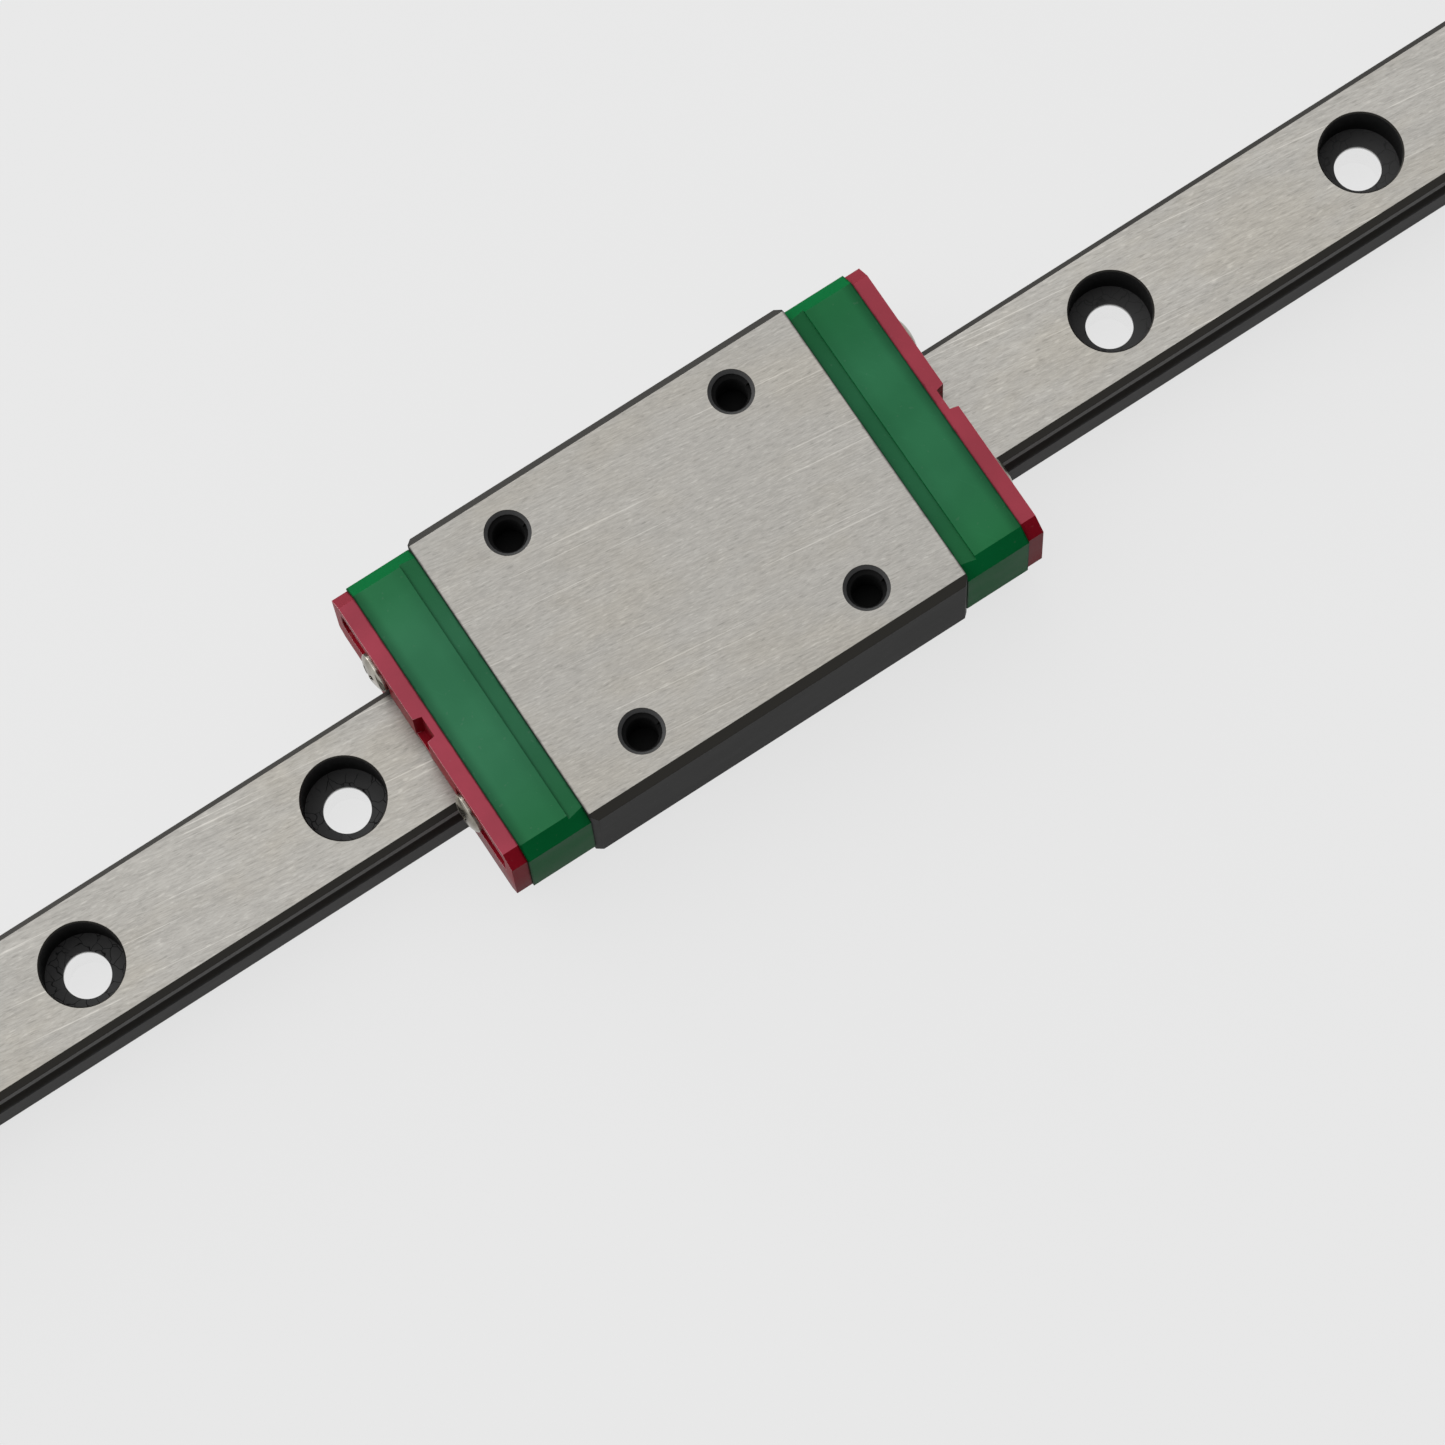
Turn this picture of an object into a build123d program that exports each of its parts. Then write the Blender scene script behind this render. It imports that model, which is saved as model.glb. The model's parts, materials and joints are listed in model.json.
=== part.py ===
from build123d import *
import os
from math import asin, cos, radians, sin

# Miniature linear guide, 7 mm rail size: a ground steel rail and a ball-bearing carriage on it.
# Millimetres. +X runs along the rail, +Z is up, the origin is the middle of the rail's base.

# Rail
rail_length = 150.0
rail_width = 7.0
rail_height = 4.8
rail_top_chamfer = 0.32
rail_foot_chamfer = 0.45

# Counterbored fixing holes of the rail
hole_pitch = 15.0
hole_end_margin = 7.5
hole_diameter = 2.4
counterbore_diameter = 4.2
counterbore_depth = 2.3

# Balls and raceways
ball_diameter = 1.5
ball_spacing = 0.04
ball_clearance = 0.02
raceway_radius = 0.83
raceway_height = 3.1
return_distance = 2.55
return_clearance = 0.1

# Steel block of the carriage
carriage_offset = -2.42
carriage_height = 8.0
block_length = 21.8
block_width = 17.0
block_floor_gap = 1.5
block_top_chamfer = 0.43
block_foot_chamfer = 0.5
block_corner_chamfer = 0.3
channel_side_gap = 0.35
channel_top_gap = 0.4
channel_corner_chamfer = 0.4
channel_mouth_chamfer = 0.25

# Tapped mounting holes in the block's top
tap_spacing_long = 13.0
tap_spacing_wide = 12.0
tap_diameter = 1.6
tap_depth = 2.5
tap_countersink_diameter = 2.35
tap_countersink_angle = 90

# Moulded end caps
cap_length = 3.6
cap_side_inset = 0.25
cap_top_drop = 0.2
cap_foot_rise = 0.4
cap_chamfer = 0.75
cap_foot_chamfer = 0.5
cap_rail_gap = 0.2
cap_strip_width = 0.88
cap_strip_depth = 0.16

# End seals
seal_length = 0.9
seal_inset = 0.1
seal_rail_gap = 0.12
notch_mouth_width = 1.36
notch_floor_width = 1.14
notch_depth = 0.45
field_inner = 3.0
field_outer = 7.4
field_bottom = 4.4
field_top = 6.9
field_depth = 0.2
field_corner = 0.4

# Screws that hold cap and seal on the block
screw_spread = 8.5
screw_height = 5.75
screw_grip = 3.0
screw_tip_gap = 0.3
screw_hole_clearance = 0.05
shank_diameter = 1.2
head_diameter = 2.15
head_thickness = 0.7
head_crown = 0.3
head_inset = 0.5
head_clearance = 0.05
recess_span = 1.2
recess_width = 0.26
recess_depth = 0.4

# Places that follow from the sizes above
raceway_y = (rail_width + channel_side_gap) / 2
return_y = raceway_y + return_distance
turn_y = raceway_y + return_distance / 2
ball_radius = ball_diameter / 2
return_bore_radius = ball_radius + return_clearance
channel_width = rail_width + 2 * channel_side_gap
channel_top = rail_height + channel_top_gap
block_height = carriage_height - block_floor_gap
block_start = carriage_offset - block_length / 2
block_end = carriage_offset + block_length / 2
cap_width = block_width - 2 * cap_side_inset
cap_bottom = block_floor_gap + cap_foot_rise
cap_top = carriage_height - cap_top_drop
cap_end = block_end + cap_length
seal_end = cap_end + seal_length
screw_hole_radius = shank_diameter / 2 + screw_hole_clearance
screw_seat = seal_end - head_inset
screw_length = screw_seat - block_end + screw_grip
hole_count = 1 + int((rail_length - 2 * hole_end_margin) / hole_pitch + 0.001)
carriage_middle = Plane.YZ.offset(carriage_offset)
screw_places = ((screw_spread / 2, screw_height), (-screw_spread / 2, screw_height))
raceway_places = ((raceway_y, raceway_height), (-raceway_y, raceway_height))
return_places = ((return_y, raceway_height), (-return_y, raceway_height))
on_base = (Align.CENTER, Align.MIN)


# Pointed-arch raceway section: four arcs that each touch the ball at 45 degrees
def raceway_section(gap=0.0):
    arc_shift = raceway_radius - ball_radius - ball_clearance
    with BuildSketch() as section:
        Circle(2 * raceway_radius)
        for arc_centre in PolarLocations(arc_shift, 4, start_angle=45):
            with Locations(arc_centre):
                Circle(raceway_radius - gap, mode=Mode.INTERSECT)
    return section.sketch


# Rail section, grown all round by a running gap where a cap or a seal reaches over it
def rail_section(gap=0.0):
    raceway = raceway_section(gap)
    with BuildSketch() as section:
        Rectangle(rail_width + 2 * gap, rail_height + gap, align=on_base)
        chamfer(section.vertices().group_by(Axis.Y)[-1], rail_top_chamfer)
        chamfer(section.vertices().group_by(Axis.Y)[0], rail_foot_chamfer)
        with Locations(*raceway_places):
            add(raceway, mode=Mode.SUBTRACT)
    return section.sketch


# Outline that end cap and end seal share, with the rail's shape cut out of it
def end_section(inset, rail_gap):
    rail_opening = rail_section(rail_gap)
    with BuildSketch() as section:
        with Locations((0, cap_bottom + inset)):
            Rectangle(cap_width - 2 * inset, cap_top - cap_bottom - 2 * inset, align=on_base)
        chamfer(section.vertices().group_by(Axis.Y)[-1], cap_chamfer)
        chamfer(section.vertices().group_by(Axis.Y)[0], cap_foot_chamfer)
        add(rail_opening, mode=Mode.SUBTRACT)
    return section.sketch


# Cross-recessed pan-head screw at one side of the right-hand end
def build_seal_screw(side):
    seat = Plane(origin=(screw_seat, side * screw_spread / 2, screw_height), z_dir=(1, 0, 0))
    with BuildPart() as screw:
        with BuildSketch(seat):
            Circle(head_diameter / 2)
        extrude(amount=head_thickness)
        chamfer(screw.edges().group_by(Axis.X)[-1], head_crown)
        with BuildSketch(seat):
            Circle(shank_diameter / 2)
        extrude(amount=-screw_length)
        with BuildSketch(seat.offset(head_thickness)):
            Rectangle(recess_span, recess_width, rotation=45)
            Rectangle(recess_span, recess_width, rotation=-45)
        extrude(amount=-recess_depth, mode=Mode.SUBTRACT)
    return screw


# Corners of a ball with few faces, because the two circuits hold some sixty of them
def ball_corners():
    corners = [(0, 0, ball_radius), (0, 0, -ball_radius)]
    for latitude in (-45, 0, 45):
        ring_radius = ball_radius * cos(radians(latitude))
        for longitude in range(0, 360, 45):
            x = ring_radius * cos(radians(longitude))
            y = ring_radius * sin(radians(longitude))
            corners.append((x, y, ball_radius * sin(radians(latitude))))
    return corners


# Balls of one circuit: down the loaded row, round one end cap, back through the bore and round
def build_ball_circuit(side):
    route = SlotCenterToCenter(block_length, return_distance).face().outer_wire()
    ball_step = return_distance * asin((ball_diameter + ball_spacing) / return_distance)
    ball_count = int(route.length / ball_step)
    steps = [route.position_at(number / ball_count) for number in range(ball_count)]
    places = [(carriage_offset + p.X, side * (turn_y + p.Y), raceway_height) for p in steps]
    with BuildPart() as balls:
        with Locations(*places):
            ConvexPolyhedron(ball_corners())
    return balls


# Rail: ground bar with a raceway in each side and counterbored holes along the top
rail_profile = rail_section()
with BuildPart() as rail:
    with BuildSketch(Plane.YZ.offset(-rail_length / 2)):
        add(rail_profile)
    extrude(amount=rail_length)
    with Locations((0, 0, rail_height)):
        with GridLocations(hole_pitch, 0, hole_count, 1):
            CounterBoreHole(hole_diameter / 2, counterbore_diameter / 2, counterbore_depth)
rail.part.label = "rail"

# Carriage block: steel saddle with two raceways, two return bores and tapped holes
raceway_cut = raceway_section()
with BuildPart() as carriage_block:
    with BuildSketch(Plane.YZ.offset(block_start)) as saddle:
        with Locations((0, block_floor_gap)):
            Rectangle(block_width, block_height, align=on_base)
        chamfer(saddle.vertices().group_by(Axis.Y)[-1], block_top_chamfer)
        chamfer(saddle.vertices().group_by(Axis.Y)[0], block_foot_chamfer)
    extrude(amount=block_length)
    chamfer(carriage_block.edges().filter_by(Axis.Z), block_corner_chamfer)
    with BuildSketch(Plane.YZ.offset(block_start)) as channel:
        Rectangle(channel_width, channel_top, align=on_base)
        chamfer(channel.vertices().group_by(Axis.Y)[-1], channel_corner_chamfer)
        with Locations(*raceway_places):
            add(raceway_cut)
        with Locations(*return_places):
            Circle(return_bore_radius)
    extrude(amount=block_length, mode=Mode.SUBTRACT)
    foot_edges = carriage_block.faces().group_by(Axis.Z)[0].edges().filter_by(Axis.X)
    chamfer(foot_edges.filter_by(lambda edge: abs(edge.center().Y) < channel_width), channel_mouth_chamfer)
    with Locations((carriage_offset, 0, carriage_height)):
        with GridLocations(tap_spacing_long, tap_spacing_wide, 2, 2):
            CounterSinkHole(
                tap_diameter / 2, tap_countersink_diameter / 2, tap_depth, tap_countersink_angle
            )
    for end_x, inward in ((block_end, -1), (block_start, 1)):
        with BuildSketch(Plane.YZ.offset(end_x)):
            with Locations(*screw_places):
                Circle(screw_hole_radius)
        extrude(amount=inward * (screw_grip + screw_tip_gap), mode=Mode.SUBTRACT)
carriage_block.part.label = "carriage_block"

# End caps: moulded, with a square passage that turns the balls on each side and the screws' holes
cap_outline = end_section(0, cap_rail_gap)
with BuildPart() as end_cap_right:
    with BuildSketch(Plane.YZ.offset(block_end)):
        add(cap_outline)
    extrude(amount=cap_length)
    with BuildSketch(Plane.XZ):
        strip_edge = block_end + cap_strip_width
        Polygon(
            (block_end, cap_top), (strip_edge, cap_top), (strip_edge, cap_top - cap_strip_depth), align=None
        )
    extrude(amount=cap_width, both=True, mode=Mode.SUBTRACT)
    for side in (1, -1):
        with BuildSketch(Plane.YZ.offset(block_end)):
            with Locations((side * return_y, raceway_height)):
                Rectangle(2 * return_bore_radius, 2 * return_bore_radius)
        turn_axis = Axis((block_end, side * turn_y, 0), (0, 0, 1))
        revolve(axis=turn_axis, revolution_arc=360, mode=Mode.SUBTRACT)
    with BuildSketch(Plane.YZ.offset(block_end)):
        with Locations(*screw_places):
            Circle(screw_hole_radius)
    extrude(amount=cap_length, mode=Mode.SUBTRACT)
end_cap_right.part.label = "end_cap_right"

with BuildPart() as end_cap_left:
    mirror(end_cap_right.part, about=carriage_middle)
end_cap_left.part.label = "end_cap_left"

# End seals: thin wiper plates with screw seats and a notch down the middle
seal_outline = end_section(seal_inset, seal_rail_gap)
with BuildPart() as end_seal_right:
    with BuildSketch(Plane.YZ.offset(cap_end)):
        add(seal_outline)
    extrude(amount=seal_length)
    with BuildSketch(Plane.YZ.offset(seal_end)) as screw_field:
        field_y = (field_inner + field_outer) / 2
        with Locations((field_y, field_bottom), (-field_y, field_bottom)):
            Rectangle(field_outer - field_inner, field_top - field_bottom, align=on_base)
        chamfer(screw_field.vertices(), field_corner)
    extrude(amount=-field_depth, mode=Mode.SUBTRACT)
    with BuildSketch(Plane.YZ.offset(seal_end)):
        with Locations(*screw_places):
            Circle(head_diameter / 2 + head_clearance)
    extrude(amount=-head_inset, mode=Mode.SUBTRACT)
    with BuildSketch(Plane.YZ.offset(cap_end)):
        with Locations(*screw_places):
            Circle(screw_hole_radius)
    extrude(amount=seal_length, mode=Mode.SUBTRACT)
    with BuildSketch(Plane.XY):
        notch_floor = seal_end - notch_depth
        Polygon(
            (seal_end, notch_mouth_width / 2),
            (notch_floor, notch_floor_width / 2),
            (notch_floor, -notch_floor_width / 2),
            (seal_end, -notch_mouth_width / 2),
            align=None,
        )
    extrude(amount=carriage_height, mode=Mode.SUBTRACT)
end_seal_right.part.label = "end_seal_right"

with BuildPart() as end_seal_left:
    mirror(end_seal_right.part, about=carriage_middle)
end_seal_left.part.label = "end_seal_left"

# Seal screws and ball circuits, on the far (+Y) and the near (-Y) side
pieces = [rail, carriage_block, end_cap_right, end_cap_left, end_seal_right, end_seal_left]
for side, side_name in ((1, "far"), (-1, "near")):
    right_screw = build_seal_screw(side)
    right_screw.part.label = f"seal_screw_right_{side_name}"
    with BuildPart() as left_screw:
        mirror(right_screw.part, about=carriage_middle)
    left_screw.part.label = f"seal_screw_left_{side_name}"
    ball_circuit = build_ball_circuit(side)
    ball_circuit.part.label = f"ball_circuit_{side_name}"
    pieces += [right_screw, left_screw, ball_circuit]

os.makedirs("parts", exist_ok=True)
for piece in pieces:
    export_step(piece.part, f"parts/{piece.part.label}.step")
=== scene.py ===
# %% [markdown]
# A miniature linear guide: a ground steel rail, seven millimetres wide, and a long carriage that
# rolls along it on two closed circuits of balls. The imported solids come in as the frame. They say
# where everything sits and how large it is, and this lesson dresses them as the real parts look.

# %% Load the frame and measure it
import json
from math import acos, asin, cos, pi, radians, sin, sqrt

import bmesh
import bpy
from mathutils import Matrix, Vector


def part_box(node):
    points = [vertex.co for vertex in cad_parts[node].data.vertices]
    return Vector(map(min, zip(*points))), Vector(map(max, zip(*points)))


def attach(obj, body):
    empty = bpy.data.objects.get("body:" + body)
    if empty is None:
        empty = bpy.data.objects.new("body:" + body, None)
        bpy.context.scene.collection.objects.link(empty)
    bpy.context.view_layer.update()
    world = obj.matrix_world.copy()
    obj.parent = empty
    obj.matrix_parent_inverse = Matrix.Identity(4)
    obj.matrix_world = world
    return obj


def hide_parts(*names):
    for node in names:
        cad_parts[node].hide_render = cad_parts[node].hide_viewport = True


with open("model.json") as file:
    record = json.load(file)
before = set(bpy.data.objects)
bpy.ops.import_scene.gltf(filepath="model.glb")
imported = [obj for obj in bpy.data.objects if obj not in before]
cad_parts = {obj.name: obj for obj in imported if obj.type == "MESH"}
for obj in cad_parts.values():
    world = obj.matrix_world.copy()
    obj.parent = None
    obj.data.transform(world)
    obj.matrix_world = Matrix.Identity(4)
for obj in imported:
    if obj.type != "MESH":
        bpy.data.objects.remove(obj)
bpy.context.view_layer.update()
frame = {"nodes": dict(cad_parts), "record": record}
mm = 0.001
rail_low, rail_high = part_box("rail")
block_low, block_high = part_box("carriage_block")
carriage_x = (block_low[0] + block_high[0]) / 2
mounts = {mount["name"]: mount for mount in frame["record"]["mounts"]}
print("carriage middle, mm along the rail:", round(carriage_x / mm, 2))

# %% [markdown]
# The camera comes first, because every comparison is made through it. The photograph was taken from
# nearly overhead with a long lens, so its place was worked out from the spacing of the eight holes and
# from how far one sees into them. A camera's own axes are right, up and backwards, and they fill the
# columns of its matrix.

# %% Camera at the photograph's angle
camera_place = Vector((-42.97, -81.24, 310.32)) * mm
camera_right = Vector((0.83684, -0.54669, -0.02893))
camera_up = Vector((0.53419, 0.80387, 0.26161))
camera_lens = 161.94

camera_data = bpy.data.cameras.new("photo_camera")
camera_data.lens = camera_lens
camera_data.clip_start = 10 * mm
camera = bpy.data.objects.new("photo_camera", camera_data)
camera_axes = Matrix((camera_right, camera_up, camera_right.cross(camera_up))).transposed()
camera.matrix_world = Matrix.Translation(camera_place) @ camera_axes.to_4x4()
bpy.context.collection.objects.link(camera)
bpy.context.scene.camera = camera
bpy.context.scene.view_settings.view_transform = "Standard"
print("camera height, mm:", round(camera.matrix_world.translation.z / mm, 1))

# %% [markdown]
# Both kinds of node tree, for shapes and for finishes, are built with the same few helpers. One adds
# a node and fills its sockets, with a value or with a link from another node's output. The others
# make a group with named inputs, so that one effect can serve several materials at its own strength.


# %% Helpers for node trees
def add_node(tree, kind, sockets=None, **settings):
    node = tree.nodes.new(kind)
    for name, value in settings.items():
        setattr(node, name, value)
    for key, value in (sockets or {}).items():
        if isinstance(value, bpy.types.NodeSocket):
            tree.links.new(value, node.inputs[key])
        else:
            node.inputs[key].default_value = value
    return node


def new_tree(name, kind, inputs, outputs):
    tree = bpy.data.node_groups.new(name, kind)
    for label, socket_type, value in inputs:
        socket = tree.interface.new_socket(name=label, in_out="INPUT", socket_type=socket_type)
        if value is not None:
            socket.default_value = value
    for label, socket_type in outputs:
        tree.interface.new_socket(name=label, in_out="OUTPUT", socket_type=socket_type)
    return tree, tree.nodes.new("NodeGroupInput").outputs, tree.nodes.new("NodeGroupOutput")


def calculate(tree, operation, first, second=0.0, third=0.0):
    sockets = {0: first, 1: second, 2: third}
    return add_node(tree, "ShaderNodeMath", sockets, operation=operation).outputs[0]


def ramp(tree, value, low, high, start=0.0, end=1.0):
    sockets = {"Value": value, "From Min": low, "From Max": high, "To Min": start, "To Max": end}
    return add_node(tree, "ShaderNodeMapRange", sockets, interpolation_type="SMOOTHSTEP").outputs[0]


def blend(tree, factor, first, second, blend_type="MIX"):
    sockets = {0: factor, 6: first, 7: second}
    node = add_node(tree, "ShaderNodeMix", sockets, data_type="RGBA", blend_type=blend_type)
    return node.outputs[2]


def noise(tree, vector, scale, detail=2.0, roughness=0.5):
    sockets = {"Vector": vector, "Scale": scale, "Detail": detail, "Roughness": roughness}
    return add_node(tree, "ShaderNodeTexNoise", sockets).outputs[0]


float_socket = "NodeSocketFloat"
print("number sockets are of the kind", float_socket)

# %% [markdown]
# Light and floor come next. A large softbox hangs low over the object, as in the photograph, where
# every level face is bright and every upright one is dark. A smaller lamp behind lifts the chamfers
# on the far side. The world is only a dim room. The floor is pale, and for rays from the camera, or
# ones that mirror off metal, part of its paleness is its own glow, so it stays even in the picture
# while the object's soft shadow still shows on it.

# %% Softbox, room and floor
def add_lamp(name, place, target, size, energy):
    lamp_data = bpy.data.lights.new(name, "AREA")
    lamp_data.shape = "SQUARE"
    lamp_data.size = size
    lamp_data.energy = energy
    lamp = bpy.data.objects.new(name, lamp_data)
    lamp.location = place
    lamp.rotation_euler = (Vector(place) - Vector(target)).to_track_quat("Z", "Y").to_euler()
    bpy.context.collection.objects.link(lamp)


add_lamp("softbox", (-0.5, 1.05, 0.95), (-0.5, 1.05, 0.0), 2.4, 25.0)
add_lamp("back_light", (-0.3, 1.5, 0.3), (0.0, 0.0, 0.0), 0.6, 8.0)


def seen_rays(tree):
    rays = add_node(tree, "ShaderNodeLightPath").outputs
    mirrored = calculate(tree, "MAXIMUM", rays["Is Glossy Ray"], rays["Is Transmission Ray"])
    return calculate(tree, "MAXIMUM", rays["Is Camera Ray"], mirrored)


def build_room():
    world = bpy.data.worlds.new("room")
    world.use_nodes = True
    tree = world.node_tree
    tree.nodes.clear()
    dim = add_node(tree, "ShaderNodeBackground", {"Color": (0.2, 0.2, 0.205, 1)}).outputs[0]
    direction = add_node(tree, "ShaderNodeTexCoord").outputs["Generated"]
    height = add_node(tree, "ShaderNodeSeparateXYZ", {0: direction}).outputs["Z"]
    wall = blend(tree, ramp(tree, height, 0.6, 0.82), (0.78, 0.78, 0.78, 1), (0.1, 0.1, 0.1, 1))
    pale = add_node(tree, "ShaderNodeBackground", {"Color": wall}).outputs[0]
    mixed = add_node(tree, "ShaderNodeMixShader", {0: seen_rays(tree), 1: dim, 2: pale}).outputs[0]
    add_node(tree, "ShaderNodeOutputWorld", {"Surface": mixed})
    return world


def build_floor():
    material = bpy.data.materials.new("pale_floor")
    material.use_nodes = True
    tree = material.node_tree
    tree.nodes.clear()
    plain = add_node(tree, "ShaderNodeBsdfDiffuse", {"Color": (0.35, 0.35, 0.35, 1)}).outputs[0]
    thin = add_node(tree, "ShaderNodeBsdfDiffuse", {"Color": (0.1, 0.1, 0.1, 1)}).outputs[0]
    glow = add_node(tree, "ShaderNodeEmission", {"Color": (0.727, 0.727, 0.727, 1)}).outputs[0]
    shown = add_node(tree, "ShaderNodeAddShader", {0: thin, 1: glow}).outputs[0]
    mixed = add_node(tree, "ShaderNodeMixShader", {0: seen_rays(tree), 1: plain, 2: shown}).outputs[0]
    add_node(tree, "ShaderNodeOutputMaterial", {"Surface": mixed})
    bpy.ops.mesh.primitive_plane_add(size=6, location=(0, 0, -0.02 * mm))
    floor = bpy.context.object
    floor.name = "pale_floor"
    floor.data.materials.append(material)
    return floor


bpy.context.scene.world = build_room()
floor = build_floor()
print("lamps:", [lamp.name for lamp in bpy.data.lights], "floor:", floor.name)

# %% [markdown]
# The top of rail and block is surface ground. The wheel leaves fine parallel lines about a tenth
# of a millimetre apart, slightly askew to the rail, and over them lie short bright and dark strokes,
# a few long hairline scratches and faint stains. All of it is stretched noise on object coordinates,
# long along the grain and very short across it, so it keeps its size on every piece.


# %% Ground grain group
def stretched(tree, angle, along, across):
    place = add_node(tree, "ShaderNodeTexCoord").outputs["Object"]
    turn = add_node(tree, "ShaderNodeCombineXYZ", {"Z": angle}).outputs[0]
    turned = add_node(tree, "ShaderNodeMapping", {"Vector": place, "Rotation": turn}).outputs[0]
    sockets = {"Vector": turned, "Scale": (along, across, across)}
    return add_node(tree, "ShaderNodeMapping", sockets).outputs[0]


def build_ground_grain():
    inputs = [("Angle", float_socket, 0.0), ("Stain", float_socket, 0.5), ("Scratches", float_socket, 0.5)]
    outputs = [("Tone", float_socket), ("Stain", float_socket), ("Height", float_socket)]
    tree, given, result = new_tree("ground_grain", "ShaderNodeTree", inputs, outputs)
    lines = noise(tree, stretched(tree, given["Angle"], 1200, 9500), 1.0, 4.0, 0.8)
    strokes = noise(tree, stretched(tree, given["Angle"], 1900, 8500), 1.0, 1.0, 0.5)
    streaks = noise(tree, stretched(tree, given["Angle"], 90, 1000), 1.0, 2.0, 0.5)
    mottle = noise(tree, stretched(tree, given["Angle"], 1500, 2200), 1.0, 3.0, 0.7)
    hairs = noise(tree, stretched(tree, given["Angle"], 90, 9000), 1.0, 0.0, 0.5)
    clouds = noise(tree, stretched(tree, given["Angle"], 110, 210), 1.0, 4.0, 0.6)
    bright_strokes = ramp(tree, strokes, 0.6, 0.76, 0.0, 0.16)
    dark_strokes = ramp(tree, strokes, 0.24, 0.4, -0.14, 0.0)
    scratches = calculate(tree, "MULTIPLY", ramp(tree, hairs, 0.74, 0.79), given["Scratches"])
    tone = calculate(tree, "ADD", bright_strokes, dark_strokes)
    tone = calculate(tree, "MULTIPLY_ADD", lines, 0.8, tone)
    tone = calculate(tree, "MULTIPLY_ADD", streaks, 0.16, tone)
    tone = calculate(tree, "MULTIPLY_ADD", mottle, 0.13, tone)
    tone = calculate(tree, "ADD", tone, scratches)
    stain = calculate(tree, "MULTIPLY", ramp(tree, clouds, 0.42, 0.66), given["Stain"])
    height = calculate(tree, "MULTIPLY_ADD", strokes, 0.4, lines)
    tree.links.new(tone, result.inputs["Tone"])
    tree.links.new(stain, result.inputs["Stain"])
    tree.links.new(height, result.inputs["Height"])
    return tree


ground_grain = build_ground_grain()
print("ground grain nodes:", len(ground_grain.nodes))

# %% [markdown]
# Only the top and the base are ground bright. Sides, chamfers and holes get a dark skin, partly the
# dark surface left by heat treatment and partly painted shade for the dark surroundings these faces
# mirror. One material can hold both if it knows which way a spot faces: the object normal says top,
# chamfer or side, and the height keeps the floors of the counterbores out of the bright area.


# %% Facing group
def build_facing():
    inputs = [("Top Height", float_socket, 0.0), ("Base Height", float_socket, 0.0)]
    outputs = [("Ground", float_socket), ("Level", float_socket), ("Chamfer", float_socket)]
    outputs += [("End", float_socket)]
    tree, given, result = new_tree("facing", "ShaderNodeTree", inputs, outputs)
    source = add_node(tree, "ShaderNodeTexCoord")
    facing = add_node(tree, "ShaderNodeSeparateXYZ", {0: source.outputs["Normal"]}).outputs
    height = add_node(tree, "ShaderNodeSeparateXYZ", {0: source.outputs["Object"]}).outputs["Z"]
    slack = 0.06 * mm
    under_top = calculate(tree, "SUBTRACT", given["Top Height"], slack)
    over_base = calculate(tree, "ADD", given["Base Height"], slack)
    near_top = calculate(tree, "GREATER_THAN", height, under_top)
    near_base = calculate(tree, "LESS_THAN", height, over_base)
    up = ramp(tree, facing["Z"], 0.88, 0.96)
    down = ramp(tree, calculate(tree, "MULTIPLY", facing["Z"], -1.0), 0.88, 0.96)
    top = calculate(tree, "MULTIPLY", up, near_top)
    base = calculate(tree, "MULTIPLY", down, near_base)
    steep = calculate(tree, "ABSOLUTE", facing["Z"])
    rising = ramp(tree, steep, 0.35, 0.6)
    chamfer = calculate(tree, "MULTIPLY", rising, ramp(tree, steep, 0.8, 0.95, 1.0, 0.0))
    end = ramp(tree, calculate(tree, "ABSOLUTE", facing["X"]), 0.9, 0.97)
    tree.links.new(calculate(tree, "MAXIMUM", top, base), result.inputs["Ground"])
    tree.links.new(up, result.inputs["Level"])
    tree.links.new(chamfer, result.inputs["Chamfer"])
    tree.links.new(end, result.inputs["End"])
    return tree


facing_group = build_facing()
print("facing nodes:", len(facing_group.nodes))

# %% [markdown]
# Two more masks depend on place alone. Holes stand in rows at a fixed pitch, so wrapping X by that
# pitch lays them all over one another, and the distance to that one axis tells wall from seat and
# rim. Seams stand at fixed distances from the carriage's middle, and grime gathers along them.


# %% Hole and seam groups
def build_hole_distance():
    inputs = [("First", float_socket, 0.0), ("Pitch", float_socket, 0.015), ("Side", float_socket, 0.0)]
    outputs = [("Distance", float_socket), ("Height", float_socket)]
    tree, given, result = new_tree("hole_distance", "ShaderNodeTree", inputs, outputs)
    source = add_node(tree, "ShaderNodeTexCoord")
    place = add_node(tree, "ShaderNodeSeparateXYZ", {0: source.outputs["Object"]}).outputs
    half = calculate(tree, "MULTIPLY", given["Pitch"], 0.5)
    along = calculate(tree, "SUBTRACT", place["X"], given["First"])
    along = calculate(tree, "WRAP", along, half, calculate(tree, "MULTIPLY", half, -1.0))
    across = calculate(tree, "SUBTRACT", calculate(tree, "ABSOLUTE", place["Y"]), given["Side"])
    squares = calculate(tree, "MULTIPLY_ADD", along, along, calculate(tree, "MULTIPLY", across, across))
    tree.links.new(calculate(tree, "SQRT", squares), result.inputs["Distance"])
    tree.links.new(place["Z"], result.inputs["Height"])
    return tree


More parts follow.
